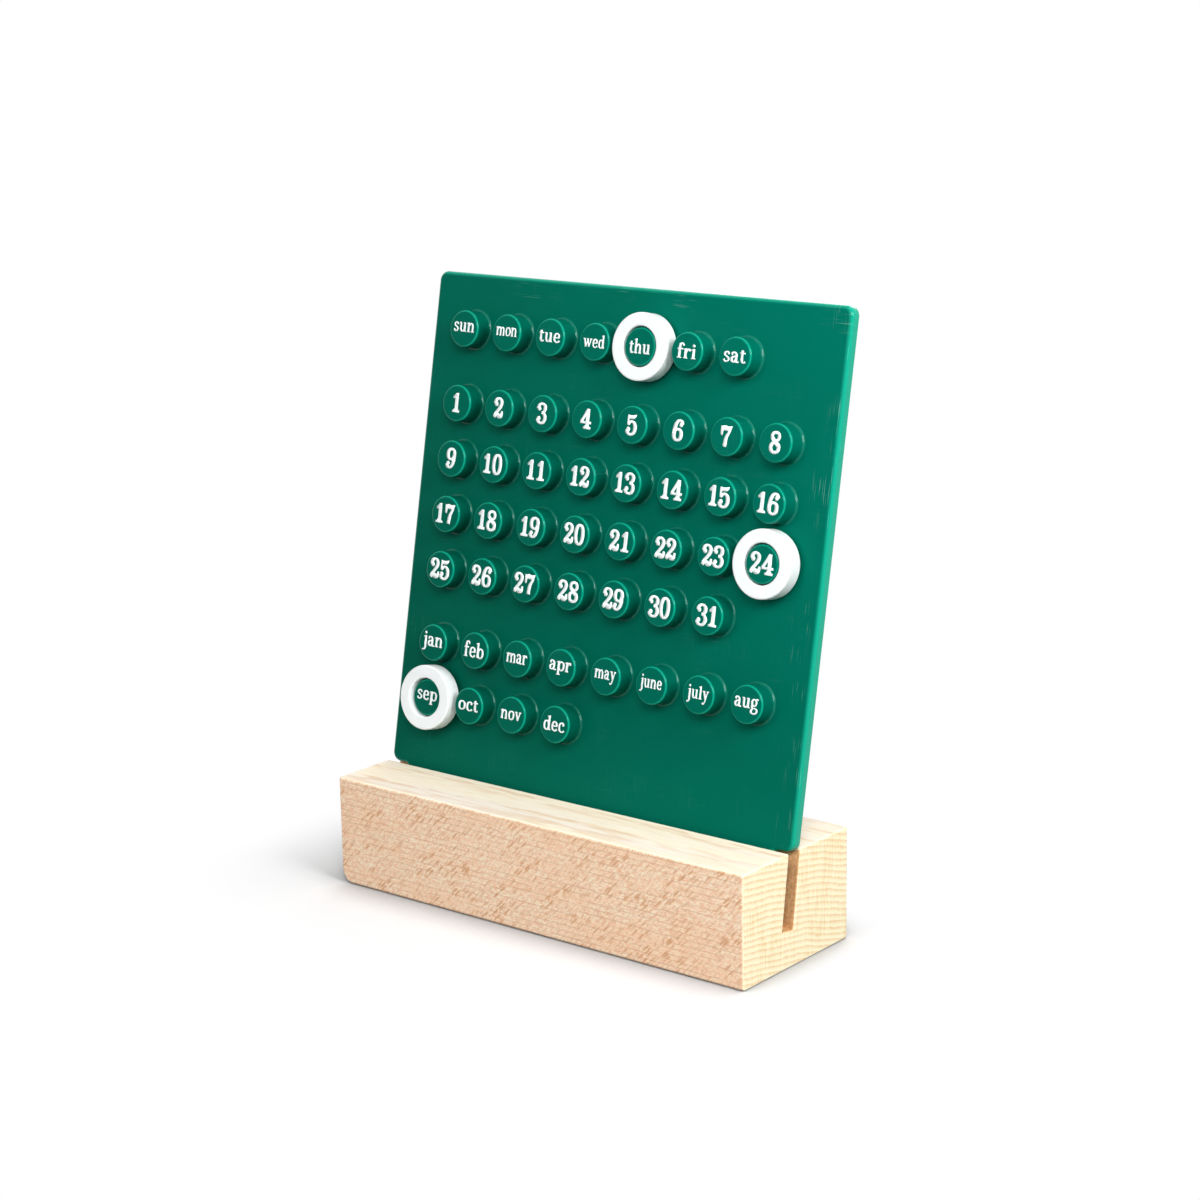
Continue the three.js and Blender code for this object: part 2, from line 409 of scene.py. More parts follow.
def green_plastic():
    """Green: 0.3 noise + 0.42 (x share) + 0.42 (height share) as painted light, scuffed near edges."""
    finish = Finish(
        "green_plastic",
        Specular_IOR_Level=0.12,
        Specular_Tint=(0.0, 0.9, 0.7, 1),
        Coat_Roughness=0.09,
        Coat_IOR=1.5,
    )
    edges = finish.node("ShaderNodeAttribute", {"attribute_name": "edges"}, output="Color")
    rim, edge, foot = (finish.node("ShaderNodeSeparateColor", {}, {0: edges}, k) for k in range(3))
    right, top = float(plate_high[0]), float(plate_high[1])
    up = finish.z * float(SHEET_AXES[1][2]) + finish.y * float(SHEET_AXES[1][1])
    slow = finish.noise(finish.here, 30 * MM, 3)
    grain = finish.noise(finish.here, 0.35 * MM, 2)
    patches = finish.ramp(finish.noise(finish.here, 14 * MM, 2), 0.45, 0.65)
    across = finish.noise(finish.point(finish.x / SCUFF_STRETCH, up, 0), SCUFF_WIDTH, 1)
    along = finish.noise(finish.point(finish.x, up / SCUFF_STRETCH, 0), SCUFF_WIDTH, 1)
    at_top = finish.ramp(up, top - SCUFFS_FROM_TOP, top - SCUFFS_FULL)
    at_side = finish.ramp(finish.x, right - SCUFFS_FROM_SIDE, right - SCUFFS_FULL)
    level = finish.ramp(across, 0.62, 0.74) * (at_top * 0.9 + 0.1)
    plumb = finish.ramp(along, 0.62, 0.74) * (at_side * 0.9 + 0.1)
    scuffs = (level + plumb) * patches
    # Painted light: the colour grows lighter towards the right and the top, for the lamps' light and
    # sheen there; only the slow noise is the plastic's own unevenness.
    painted_light_across = (finish.x / right + 1) * 0.5
    unevenness_and_painted_light = slow * 0.3 + painted_light_across * 0.42 + up / top * 0.42 - 0.08
    colour = finish.blend(unevenness_and_painted_light, GREEN_DEEP, GREEN_FRESH)
    colour = finish.blend(scuffs * 0.45, colour, GREEN_SCUFFED)
    # Painted highlight: rims and the panel's edges are blended to a lighter green where they would catch
    # the light; the clear coat on them is real gloss.
    finish.feed(
        Base_Color=finish.blend((rim + edge) * 0.75, colour, GREEN_EDGE_HIGHLIGHT),
        Roughness=slow * 0.06 + grain * 0.03 + scuffs * 0.2 + 0.3,
        Coat_Weight=rim * 0.25 + edge * 0.38 + foot * 0.6,
    )
    finish.bump(slow + grain * 0.004, 0.4, 0.12 * MM)
    return finish.material


# %% [markdown]
# ## The panel and its studs as one moulding
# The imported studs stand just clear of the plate, as separate nodes, but the real panel is one
# piece. Here each stud grows out of the plate through a small round at its foot, where the
# mould's edge was eased, and ends in a rounder rim. The profile is turned once and repeated at
# the fifty places. The plate is a flat face with fifty round holes that the feet close. Each
# point also keeps how far it lies on a rim, an edge or a foot, for the finish to read. A
# Bevel node could find the edges in a render, but the exported model would lose it.

# %% The panel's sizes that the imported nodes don't show
FOOT_ROUND = 0.7 * MM
RIM_ROUND = 0.6 * MM
RECESS_WALL = 1.8 * MM
RECESS_ENTRY_ROUND = 0.2 * MM
RECESS_ROOF_ROUND = 0.3 * MM
FRONT_ROUND = 1.2 * MM
BACK_ROUND = 0.3 * MM
FACE_CORNER = 2.5 * MM
SHOULDER_CORNER = 1.4 * MM
TONGUE_CORNER = 1.5 * MM
TONGUE_INSET = 6 * MM
STUD_SIDES, STUD_STEPS = 64, 5
RECESS_SIDES, ENTRY_STEPS, ROOF_STEPS = 32, 2, 3
CORNER_STEPS, BACK_STEPS, FRONT_STEPS = 10, 3, 8


# %% The profiles of a stud and of the recess behind it
def stud_profile():
    """Foot round, wall, rim round and top of a stud, as (r, z) with directions."""
    foot_centre = (stud_radius + FOOT_ROUND, plate_thickness + FOOT_ROUND)
    foot = arc(foot_centre, FOOT_ROUND, 270, 180, STUD_STEPS, True)
    rim = arc((stud_radius - RIM_ROUND, stud_top - RIM_ROUND), RIM_ROUND, 0, 90, STUD_STEPS)
    top = [[share * stud_radius, stud_top, 0, 1] for share in (0.6, 0)]
    return np.vstack([foot, rim, top])


def recess_profile():
    """The recess behind a stud, from the back of the plate to its roof."""
    radius = stud_radius - RECESS_WALL
    roof = min(box[0][2] for box in stud_boxes.values()) - SHEET_ORIGIN[2]
    mouth, inner = RECESS_ENTRY_ROUND, RECESS_ROOF_ROUND
    entry = arc((radius + mouth, mouth), mouth, 270, 180, ENTRY_STEPS)
    corner = arc((radius - inner, roof - inner), inner, 0, 90, ROOF_STEPS, True)
    return np.vstack([entry, corner, [[0, roof, 0, -1]]])


def first_rows(points, sides, profile_rows):
    """The first ring of points of each copy of a turned profile, on the sheet."""
    return list(points.reshape(-1, profile_rows * sides, 3)[:, :sides, :2])


# %% The panel's outline, and where its edges are
def panel_outline():
    """The face with its round corners, and the narrower tongue that goes into the slot."""
    right, top = plate_high[:2]
    on_sheet = points_of("panel_plate") @ SHEET_AXES.T
    beside = on_sheet[on_sheet[:, 0] > right - FACE_CORNER]
    shoulder, foot = beside[:, 1].min(), plate_low[1]
    inner = right - TONGUE_INSET
    corners = [(-inner, foot), (inner, foot), (inner, shoulder), (right, shoulder)]
    corners += [(right, top), (-right, top), (-right, shoulder), (-inner, shoulder)]
    radii = [TONGUE_CORNER, TONGUE_CORNER, SHOULDER_CORNER, FACE_CORNER]
    radii += [FACE_CORNER, FACE_CORNER, FACE_CORNER, SHOULDER_CORNER]
    return rounded_outline(corners, radii, CORNER_STEPS)


def edges_of(points, normals, places):
    """How far each point lies on a rim, on the panel's edge and in a foot, each from 0 to 1.

    On rims and feet this is 1 - |2 n^2 - 1| and on the edge 1 - n^4, for a direction with n
    along z: 0 on the flats, and most halfway round a rim or at the panel's side.
    """
    height, level = points[:, 2], np.abs(normals[:, 2])
    slanting = 1 - np.abs(2 * level ** 2 - 1)
    from_stud = np.linalg.norm(points[:, None, :2] - places[None, :, :2], axis=2).min(axis=1)
    rim = slanting * (height > stud_top - RIM_ROUND - JOIN_GRID)
    foot = slanting * (height > plate_thickness - JOIN_GRID) * (height < stud_top - RIM_ROUND)
    edge = (1 - level ** 4) * (from_stud > stud_radius + FOOT_ROUND + JOIN_GRID)
    return np.stack([rim, edge, foot], axis=1)


# %% The moulding
def panel_moulding():
    """The panel with its studs, worked out on the sheet and then leant back."""
    places = np.array([[*centre, 0] for centre in STUDS.values()])
    profile, recess = stud_profile(), recess_profile()
    studs = at_places(*lathe(profile, STUD_SIDES), places)
    recesses = at_places(*lathe(recess, RECESS_SIDES), places)
    back = arc((BACK_ROUND, BACK_ROUND), BACK_ROUND, 270, 180, BACK_STEPS)
    front = arc((FRONT_ROUND, plate_thickness - FRONT_ROUND), FRONT_ROUND, 180, 90, FRONT_STEPS)
    edge = np.vstack([back, front]) * [1, 1, -1, 1]
    band = edge_band(panel_outline(), edge)
    rows = band[0].reshape(len(edge), -1, 3)
    feet = first_rows(studs[0], STUD_SIDES, len(profile))
    mouths = first_rows(recesses[0], RECESS_SIDES, len(recess))
    front_face = flat_face(rows[-1, :, :2], feet, plate_thickness, 1)
    back_face = flat_face(rows[0, :, :2], mouths, 0, -1)
    points, normals, triangles = join([studs, recesses, band, front_face, back_face])
    piece = make_piece("panel_moulding", lean_back(points), normals @ SHEET_AXES, triangles,
                       [green_plastic()], "panel",
                       edges=edges_of(points, normals, places))
    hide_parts("panel_plate", *STUD_NODES)


panel_moulding()

# %% [markdown]
# ## White rings
# Each ring is a plain turned band in slightly translucent white plastic with eased edges. Its
# section is a rounded rectangle turned about the stud's axis. A torus primitive would be
# quicker, but its section is a circle, and these rings have flat faces.

# %% The rings' finish and shape
RING_ROUND = 0.4 * MM
RING_SIDES, RING_STEPS = 128, 5


def white_plastic():
    """Satin white, faintly clouded, with a fine unevenness that softens its shine."""
    finish = Finish(
        "white_plastic",
        Specular_IOR_Level=0.5,
        Subsurface_Weight=0.25,
        Subsurface_Radius=(1, 1, 1),
        Subsurface_Scale=1.5 * MM,
    )
    cloud = finish.noise(finish.here, 4 * MM, 3)
    grain = finish.noise(finish.here, 0.2 * MM, 2)
    finish.feed(
        Base_Color=finish.blend(cloud, (0.80, 0.84, 0.84), (0.86, 0.89, 0.89)),
        Roughness=cloud * 0.08 + grain * 0.06 + 0.28,
    )
    finish.bump(grain, 0.15, 0.01 * MM)
    return finish.material


def marker_ring(node, material):
    """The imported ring's section with rounded corners, turned about its stud's axis."""
    low, high = sheet_box(node)
    centre = (low + high)[:2] / 2
    on_sheet = points_of(node) @ SHEET_AXES.T
    bore = np.linalg.norm(on_sheet[:, :2] - centre, axis=1).min()
    outer = (high[0] - low[0]) / 2
    back, front = low[2] - SHEET_ORIGIN[2], high[2] - SHEET_ORIGIN[2]
    corners = [(bore, back), (outer, back), (outer, front), (bore, front)]
    section = rounded_outline(corners, [RING_ROUND] * 4, RING_STEPS)
    turned = lathe(np.vstack([section, section[:1]]), RING_SIDES)
    points, normals, triangles = join([at_places(*turned, np.array([[*centre, 0]]))])
    body = node.replace("_ring", "_marker")
    piece = make_piece(node + "_turned", lean_back(points), normals @ SHEET_AXES, triangles,
                       [material], body)
    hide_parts(node)
    print(f"  bore {bore / MM:.2f} mm, outside {outer / MM:.2f} mm in radius")


ring_finish = white_plastic()
for node in RING_NODES:
    marker_ring(node, ring_finish)

# %% [markdown]
# ## The print on the studs
# Each stud carries a numeral or a short lower-case word in white print. Blender's own font
# has no serifs, and this print is a sturdy old-style face: its upright strokes are thick, its
# level ones thinner, and its curls end in round drops. So each sign is drawn as a sign writer
# would draw it, with a flat oval pen carried along a few strokes. The pen gives the thick and
# the thin by itself. A numeral is 100 units tall, and so is a letter without its tails. A
# third number at a point of a stroke widens or narrows the pen there.

# %% The pen
SIGN_HEIGHT = 100
SLAB = 11
CURVE_STEPS = 6
LOOP_STEPS, LOOP_SQUARING = 24, 0.88
DROP_SIDES = 18


def through(points):
    """A smooth path through points: Catmull-Rom, a cubic from each four points in a row."""
    knots = np.asarray(points, float)
    knots = np.vstack([2 * knots[0] - knots[1], knots, 2 * knots[-1] - knots[-2]])
    t = np.linspace(0, 1, CURVE_STEPS, endpoint=False)[:, None]
    a, b, c, d = (knots[k:len(knots) - 3 + k][:, None] for k in range(4))
    cubic = 3 * b - a - 3 * c + d
    spans = b + 0.5 * ((c - a) * t + (2 * a - 5 * b + 4 * c - d) * t**2 + cubic * t**3)
    return np.vstack([spans.reshape(-1, knots.shape[1]), knots[-2:-1]])


def pen_stroke(path, pen):
    """Both sides of a path, hypot(thick dy, thin dx) away, times its own width if it has one."""
    along = np.gradient(path[:, :2], axis=0)
    along /= np.linalg.norm(along, axis=1, keepdims=True)
    half = np.hypot(pen[0] * along[:, 1], pen[1] * along[:, 0])[:, None]
    if path.shape[1] > 2:
        half = half * path[:, 2:]
    side = np.stack([-along[:, 1], along[:, 0]], axis=1) * half
    return np.vstack([path[:, :2] - side, (path[:, :2] + side)[::-1]])


def stroke(pen, *points):
    """The part of a sign that one pen stroke through these points covers."""
    return [pen_stroke(through(points), pen)]


def loop(pen, x, y, wide, tall):
    """A round stroke, a little squared, as two halves that overlap at the top and the foot."""
    halves = []
    for start in (80, 260):
        turn = np.radians(np.linspace(start, start + 200, LOOP_STEPS))
        round_path = np.stack([np.cos(turn), np.sin(turn)], axis=1)
        squared = np.sign(round_path) * np.abs(round_path) ** LOOP_SQUARING
        halves.append(pen_stroke(squared * [wide, tall] + [x, y], pen))
    return halves


def drop(x, y, radius):
    """A round dot: the centre plus radius (cos t, sin t)."""
    turn = np.linspace(0, 2 * math.pi, DROP_SIDES, endpoint=False)
    return [np.stack([x + radius * np.cos(turn), y + radius * np.sin(turn)], axis=1)]


def bar(left, right, low, high):
    """An upright rectangle."""
    return [np.array([(left, low), (right, low), (right, high), (left, high)])]


def shape(*corners):
    """A part with straight sides, from its corners in order."""
    return [np.array(corners)]


# %% [markdown]
# Numerals all have the same width, as on a ruler, so that a column of dates lines up. The
# strokes of each are listed from the top left, and where strokes overlap they join.

# %% Numerals
FIGURE_PEN = (10.4, 6.2)
FIGURE_WIDTH = 65


def figure_foot(x, reach):
    """A slab foot under an upright at x, with the small slopes that join the two."""
    slope = shape((x - 17, 10), (x + 17, 10), (x + 10.5, 20), (x - 10.5, 20))
    return bar(x - reach, x + reach, 0, SLAB) + slope


def figures():
    """The parts of each numeral."""
    pen = FIGURE_PEN
    thick = pen[0]
    one_flag = shape((23.5, 72), (11, 70), (8.5, 80), (29, 100), (44, 100), (44, 90))
    four_apex = shape((42, 100), (57.5, 100), (57.4, 84), (36.6, 84))
    five_flag = shape((7, 98.5), (20, 95), (40, 96), (60, 100), (56, 86),
                      (44, 77), (25, 76), (12, 78))
    seven_serif = shape((4, 100), (11.5, 98), (20, 82), (17, 66), (15, 54),
                        (9, 53), (3, 60))
    return {
        "0": loop(pen, 32.5, 50.5, 22, 47.5),
        "1": bar(35 - thick, 35 + thick, 3, 97) + one_flag + figure_foot(33, 24),
        "2": drop(15.5, 69, 11.5)
             + stroke(pen, (8, 71, 1), (11, 87, 1), (20.5, 96.5, 1), (33, 97, 1), (44, 90, 1),
                      (48.5, 77, 1), (44, 60, 1.05), (31.5, 42, 1), (15.5, 23, 0.9), (7, 2, 0.9))
             + stroke(pen, (8, 10, 1), (16.5, 18, 1.15), (29, 14, 1.6), (42, 6, 1.4), (51.5, 14, 1),
                      (56, 35, 0.5)),
        "3": drop(15, 72, 10.5) + drop(15, 24, 11.5)
             + stroke(pen, (7, 72), (12, 88), (24, 97), (38, 96), (50, 86), (50, 68), (42, 57), (31, 53))
             + stroke(pen, (31, 53), (44, 49), (53, 37), (54, 20), (44, 5), (30, 1), (14, 7), (6, 23)),
        "4": bar(36.6, 57.4, 3, 86) + four_apex + bar(2, 70, 25.5, 37.5)
             + stroke((8.5, 6), (47, 99), (28, 66), (8.5, 34.5)) + figure_foot(46, 23.5),
        "5": five_flag + bar(6.5, 16.5, 46, 97) + drop(15, 26, 12)
             + stroke(pen, (12, 50), (22, 61), (36, 64), (49, 56), (55, 40), (54, 20), (43, 5), (28, 1),
                      (13, 8), (6.5, 24)),
        "6": loop(pen, 33.5, 29, 21.5, 26.5) + drop(51, 77, 11)
             + stroke(pen, (13, 36), (15, 62), (24, 86), (38, 97), (52, 93), (58.5, 78)),
        "7": seven_serif
             + stroke(pen, (10, 84, 1.3), (24, 90, 1.8), (40, 87, 1.8), (56, 91, 1.2), (67, 100, 0.3))
             + stroke(pen, (63, 96, 0.5), (52, 70, 0.75), (38, 42, 0.95), (32.5, 0, 1.05)),
        "8": loop((8.8, 6.8), 33.5, 78, 20, 19.5) + loop((10, 7), 32.5, 25.5, 22.5, 22.5)
             + stroke((9, 9), (18, 68), (34, 52), (48, 36)),
        "9": loop(pen, 31.5, 71.5, 21.5, 26.5) + drop(14, 23.5, 11)
             + stroke(pen, (52, 64), (50, 38), (41, 14), (27, 3), (13, 7), (6.5, 22)),
    }


# %% [markdown]
# Letters share more than numerals do: most stand on an upright with a slanted head and a slab
# foot, and n, h and m spring the same arch from it. Each entry has the letter's width first.

# %% Letters
LETTER_PEN = (12.5, 7)
JOINING_PEN = (8, 6)
ASCENDER = 148
DESCENDER = -43


def upright(x, low, high, foot=0):
    """An upright with a slanted head, and a slab foot that reaches out to both sides."""
    thick = LETTER_PEN[0]
    head = shape((x - 27, high - 14), (x - 24, high - 5), (x + thick, high + 2),
                 (x + thick, high - 20), (x - thick, high - 16))
    slab = bar(x - foot, x + foot, low, low + SLAB) if foot else []
    return bar(x - thick, x + thick, low, high - 5) + head + slab


def arch(x, foot):
    """The arch that springs from an upright at x, down to a slab foot of its own."""
    end = x + 56.5
    curve = stroke(LETTER_PEN, (x + 3, 66), (x + 20, 87), (x + 40, 91), (x + 54, 74), (end, 40), (end, 2))
    return curve + bar(end - foot, end + foot, 0, SLAB)


def crossbar(left, right):
    """A thin level stroke at the height of the letter x."""
    return bar(left, right, 87, 99)


def letters():
    """The width and the parts of each letter that the words need."""
    pen, thin = LETTER_PEN, JOINING_PEN
    return {
        "a": (95, drop(19, 76, 10)
              + stroke(pen, (16, 78), (24, 92), (44, 94), (62, 76), (62.5, 40), (62.5, 12), (74, 4),
                       (93, 8))
              + stroke(pen, (62, 58), (38, 55), (16, 40), (19, 13), (40, 6), (60, 22))),
        "b": (105, upright(22, 2, ASCENDER) + loop(pen, 56, 48, 30, 44)),
        "c": (88, drop(70, 76, 11.5)
              + stroke(pen, (74, 76), (62, 92), (44, 95), (22, 78), (17, 45), (26, 15), (46, 4),
                       (66, 7), (82, 20))),
        "d": (108, upright(80, 2, ASCENDER) + loop(pen, 48, 48, 30, 44)
              + stroke(pen, (80, 30), (84, 8), (104, 7))),
        "e": (92, bar(20, 84, 46.5, 57.5)
              + stroke(pen, (80, 24), (64, 7), (46, 5), (22, 20), (16.5, 52), (28, 86), (48, 95),
                       (69, 82), (73, 56))),
        "f": (68, bar(15.5, 40.5, 0, 110) + drop(66, 132, 10) + crossbar(2, 62)
              + stroke(pen, (28, 100), (31, 136), (50, 148), (66, 140)) + bar(4, 52, 0, SLAB)),
        "g": (98, loop(pen, 44, 62, 27, 31) + stroke(pen, (62, 84), (76, 96), (94, 92))
              + stroke(pen, (26, 36), (17, 22), (30, 8), (62, 6), (82, -10), (74, -36), (44, -46),
                       (16, -36), (13, -16), (30, 2))),
        "h": (112, upright(24, 0, ASCENDER, 20) + arch(24, 20)),
        "i": (54, upright(27, 0, 100, 23) + drop(25, 130, 14.5)),
        "j": (56, upright(32, 0, 100) + drop(29, 130, 14.5)
              + stroke(pen, (32, 10), (30, -22), (12, -42), (-6, -40))),
        "l": (56, upright(28, 0, 140, 23)),
        "m": (160, upright(24, 0, 100, 18) + arch(24, 17) + arch(76, 18)),
        "n": (110, upright(24, 0, 100, 20) + arch(24, 20)),
        "o": (100, loop(pen, 50, 49, 34, 44)),
        "p": (108, upright(26, DESCENDER, 100, 23) + loop(pen, 60, 49, 30, 43)),
        "r": (80, upright(24, 0, 100, 22) + drop(67, 82, 11)
              + stroke(pen, (26, 62), (40, 84), (56, 93), (70, 90))),
        "s": (78, stroke((10, 7.5), (62, 72), (54, 90), (38, 94), (19, 84), (20, 64), (40, 51),
                         (60, 36), (59, 14), (38, 5), (20, 9), (12, 26))),
        "t": (70, bar(16.5, 41.5, 25, 120) + crossbar(4, 62)
              + stroke(pen, (29, 40), (33, 12), (48, 5), (66, 14))),
        "u": (110, stroke(pen, (25, 95), (25, 40), (32, 12), (50, 6), (66, 16), (78, 36))
              + bar(67.5, 92.5, 0, 97) + crossbar(3, 30) + crossbar(58, 85) + bar(80, 102, 0, SLAB)),
        "v": (98, stroke(pen, (20, 95), (36, 50), (52, 5)) + stroke(thin, (52, 5), (66, 50), (80, 95))
              + crossbar(2, 40) + crossbar(62, 96)),
        "w": (142, stroke(pen, (18, 95), (31, 50), (44, 5)) + stroke(thin, (44, 5), (57, 50), (68, 92))
              + stroke(pen, (66, 95), (80, 50), (94, 5)) + stroke(thin, (94, 5), (108, 50), (122, 95))
              + crossbar(0, 36) + crossbar(52, 84) + crossbar(104, 138)),
        "y": (98, stroke(pen, (22, 95), (38, 50), (54, 8)) + drop(14, -36, 10)
              + stroke(thin, (82, 95), (66, 50), (48, -10), (30, -40), (10, -40)) + crossbar(2, 42)
              + crossbar(64, 98)),
    }


# %% [markdown]
# The printer fitted every word to the width of its stud, so short words are larger than long
# ones. A word's own width, the height of its letter x and its baseline are therefore given in
# millimetres from the stud's centre, as they were measured in the photograph.

# %% Words on their studs
FIGURE_HEIGHT = 5.05 * MM
FIGURE_BASELINE = -2.42 * MM
WORDS = {
    "sun": (6.9, 2.46, -0.82), "mon": (6.9, 2.30, -0.82), "tue": (6.85, 2.42, -1.20),
    "wed": (6.75, 2.20, -1.45), "thu": (6.4, 2.45, -1.74), "fri": (5.7, 2.45, -1.74),
    "sat": (6.7, 2.55, -1.49), "jan": (6.8, 2.60, -1.02), "feb": (6.65, 2.68, -1.78),
    "mar": (7.0, 2.45, -1.12), "apr": (7.05, 2.48, -0.82), "may": (6.8, 2.30, -0.66),
    "june": (6.7, 2.25, -0.66), "july": (6.5, 2.30, -1.00), "aug": (7.0, 2.48, -0.78),
    "sep": (6.9, 2.50, -0.72), "oct": (6.8, 2.42, -1.20), "nov": (6.8, 2.38, -1.20),
    "dec": (6.9, 2.50, -1.66),
}
FIGURES, LETTERS = figures(), letters()
print(f"{len(FIGURES)} numerals, {len(LETTERS)} letters, {len(WORDS)} words")


def strokes_of(word):
    """The strokes of a word or number in metres, centred on its stud from side to side."""
    strokes, x = [], 0.0
    for sign in word:
        width, drawn = LETTERS[sign] if sign in LETTERS else (FIGURE_WIDTH, FIGURES[sign])
        strokes += [part + [x, 0] for part in drawn]
        x += width
    ink = np.vstack(strokes)
    left, right = ink[:, 0].min(), ink[:, 0].max()
    if word in WORDS:
        wide, tall, baseline = (size * MM for size in WORDS[word])
        scale = np.array([wide / (right - left), tall / SIGN_HEIGHT])
    else:
        scale, baseline = FIGURE_HEIGHT / SIGN_HEIGHT, FIGURE_BASELINE
    return [(part - [(left + right) / 2, 0]) * scale + [0, baseline] for part in strokes]


# %% [markdown]
# The strokes of a sign overlap. So they are cut along each other into triangles, and each
# triangle that lies in some stroke is kept: that leaves one flat shape. It is then raised by
# the thickness of the print, with a wall along each edge that only one triangle has. Blender
# can extrude a text object in one step, but only in a font that it has.

# %% From strokes to a raised shape
CUT_GRID = 1e-5


def inside(points, ring):
    """Which points a closed ring winds around: +1 for an edge that passes up on their right."""
    start, end = ring[:, None], np.roll(ring, -1, axis=0)[:, None]
    along, to_point = end - start, points - start
    turn = along[..., 0] * to_point[..., 1] - along[..., 1] * to_point[..., 0]
    up = (start[..., 1] <= points[:, 1]) & (end[..., 1] > points[:, 1]) & (turn > 0)
    down = (start[..., 1] > points[:, 1]) & (end[..., 1] <= points[:, 1]) & (turn < 0)
    return up.sum(axis=0) != down.sum(axis=0)


def raised(strokes, low, high):
    """The strokes joined into one flat shape, as a thin slab with a wall on each free edge."""
    flat = np.vstack(strokes) / MM
    starts = np.cumsum([0] + [len(part) for part in strokes])
    rings = [np.arange(start, end) for start, end in zip(starts, starts[1:])]
    edges = np.vstack([np.column_stack([ring, np.roll(ring, -1)]) for ring in rings])
    meshed = delaunay_2d_cdt([Vector(point) for point in flat], edges.tolist(), [], 0, CUT_GRID, False)
    points, faces = np.array([point.to_tuple() for point in meshed[0]]), np.array(meshed[2])
    centres = points[faces].mean(axis=1)
    top = faces[np.any([inside(centres, flat[ring]) for ring in rings], axis=0)]
    sides = np.vstack([top[:, [0, 1]], top[:, [1, 2]], top[:, [2, 0]]])
    shared = set(map(tuple, sides[:, ::-1].tolist()))
    free = np.array([side for side in sides.tolist() if tuple(side) not in shared])
    count = len(points)
    walls = np.vstack([np.column_stack([free[:, 1], free[:, 0], free[:, 0] + count]),
                       np.column_stack([free[:, 1], free[:, 0] + count, free[:, 1] + count])])
    layers = [np.column_stack([points * MM, np.full(count, z)]) for z in (high, low)]
    return np.vstack(layers), np.vstack([top, top[:, ::-1] + count, walls])


# %% [markdown]
# The ink is matt and nearly white. Soft noise thins it in places, where a little of the green
# shows through, as it does in print that has been handled. All the words and numbers are one
# piece, which rides on the panel.

# %% The ink, and the printed piece
PRINT_THICKNESS = 0.02 * MM
PRINT_DEPTH = 0.03 * MM


def white_ink():
    """Flat white print, a little thin in places where the stud shows through."""
    finish = Finish("white_ink", Specular_IOR_Level=0.4)
    thin = finish.ramp(finish.noise(finish.here, 0.5 * MM, 3), 0.62, 0.8)
    finish.feed(
        Base_Color=finish.blend(thin * 0.25, (0.88, 0.93, 0.93), (0.35, 0.60, 0.53)),
        Roughness=thin * 0.2 + 0.4,
    )
    return finish.material


def stud_print():
    """All the print as one piece, each sign sunk a little into the top of its stud."""
    low, high = stud_top - PRINT_DEPTH, stud_top + PRINT_THICKNESS
    solids, faces, start = [], [], 0
    for name, centre in STUDS.items():
        points, triangles = raised(strokes_of(name), low, high)
        solids.append(points + [*centre, 0])
        faces.append(triangles + start)
        start += len(points)
    make_piece("stud_print", lean_back(np.vstack(solids)), None, np.vstack(faces),
               [white_ink()], "panel")


stud_print()

# %% [markdown]
# ## Beech, as the saw shows it
# Wood looks different on each side of a block, because each side cuts the tree another way.
# Here the growth rings lie nearly level: the end shows them as lines, the front and the back
# cut across them and show the rays as short flecks, and the top lies along them and is pale
# and streaky. One picture wrapped round the block would give that away at its edges. So the
# pattern is worked out in three dimensions, and each side has its own use of it.

# %% Patterns shared by the block's sides
PITH_FORWARD = 60 * MM
PITH_BELOW = 270 * MM
GROWTH_RING = 1.55 * MM


def growth(finish):
    """Distance from the tree's pith in growth rings: hypot(y + y0, z + z0) / ring."""
    slow = finish.noise(finish.point(finish.x * 0.15, finish.y, finish.z), 16 * MM, 1)
    quick = finish.noise(finish.point(finish.x * 0.3, finish.y, finish.z), 2.5 * MM, 2)
    y, z = finish.y + PITH_FORWARD, finish.z + PITH_BELOW + slow * 2 * MM + quick * 0.7 * MM
    return ((y * y + z * z) ** 0.5) / GROWTH_RING


def late_wood(finish, start):
    """1 in the darker wood at the end of each ring, which begins at a share of it."""
    phase = finish.sum("FRACT", growth(finish))
    return finish.ramp(phase, start, 0.92) * finish.ramp(phase, 1.0, 0.94)


def pores(finish, stretch, size):
    """Fine vessels along the block: noise stretched along x."""
    return finish.noise(finish.point(finish.x / stretch, finish.y, finish.z), size, 2, 0.6)


def beech(name):
    """A bare, planed wood: hardly any shine."""
    return Finish(name, Specular_IOR_Level=0.3)


# %% [markdown]
# The front and back show the rays. They are thin ribbons that run out from the pith, and the
# saw cuts them into reddish strokes that lean across the level grain, thick in some bands and
# thin in others. Stretched cells give the strokes, and slow noise the bands.

# %% The front's finish
CELL_PER_FLECK = 1.8


def flecks(finish, lean, length, width, share):
    """Spindle-shaped flecks at a lean to the grain: near the middles of stretched cells."""
    c, s = math.cos(math.radians(lean)), math.sin(math.radians(lean))
    along = (finish.x * c + finish.z * s + finish.y * 3) / (length / width)
    across = finish.z * c - finish.x * s
    where = finish.point(along, across, 0)
    size = width * CELL_PER_FLECK
    chance = finish.node("ShaderNodeSeparateColor", {}, {0: finish.cells(where, size, "Color")})
    near = finish.ramp(finish.cells(where, size), 0.55, 0.25)
    return near * finish.ramp(chance, 1 - share - 0.1, 1 - share + 0.1)


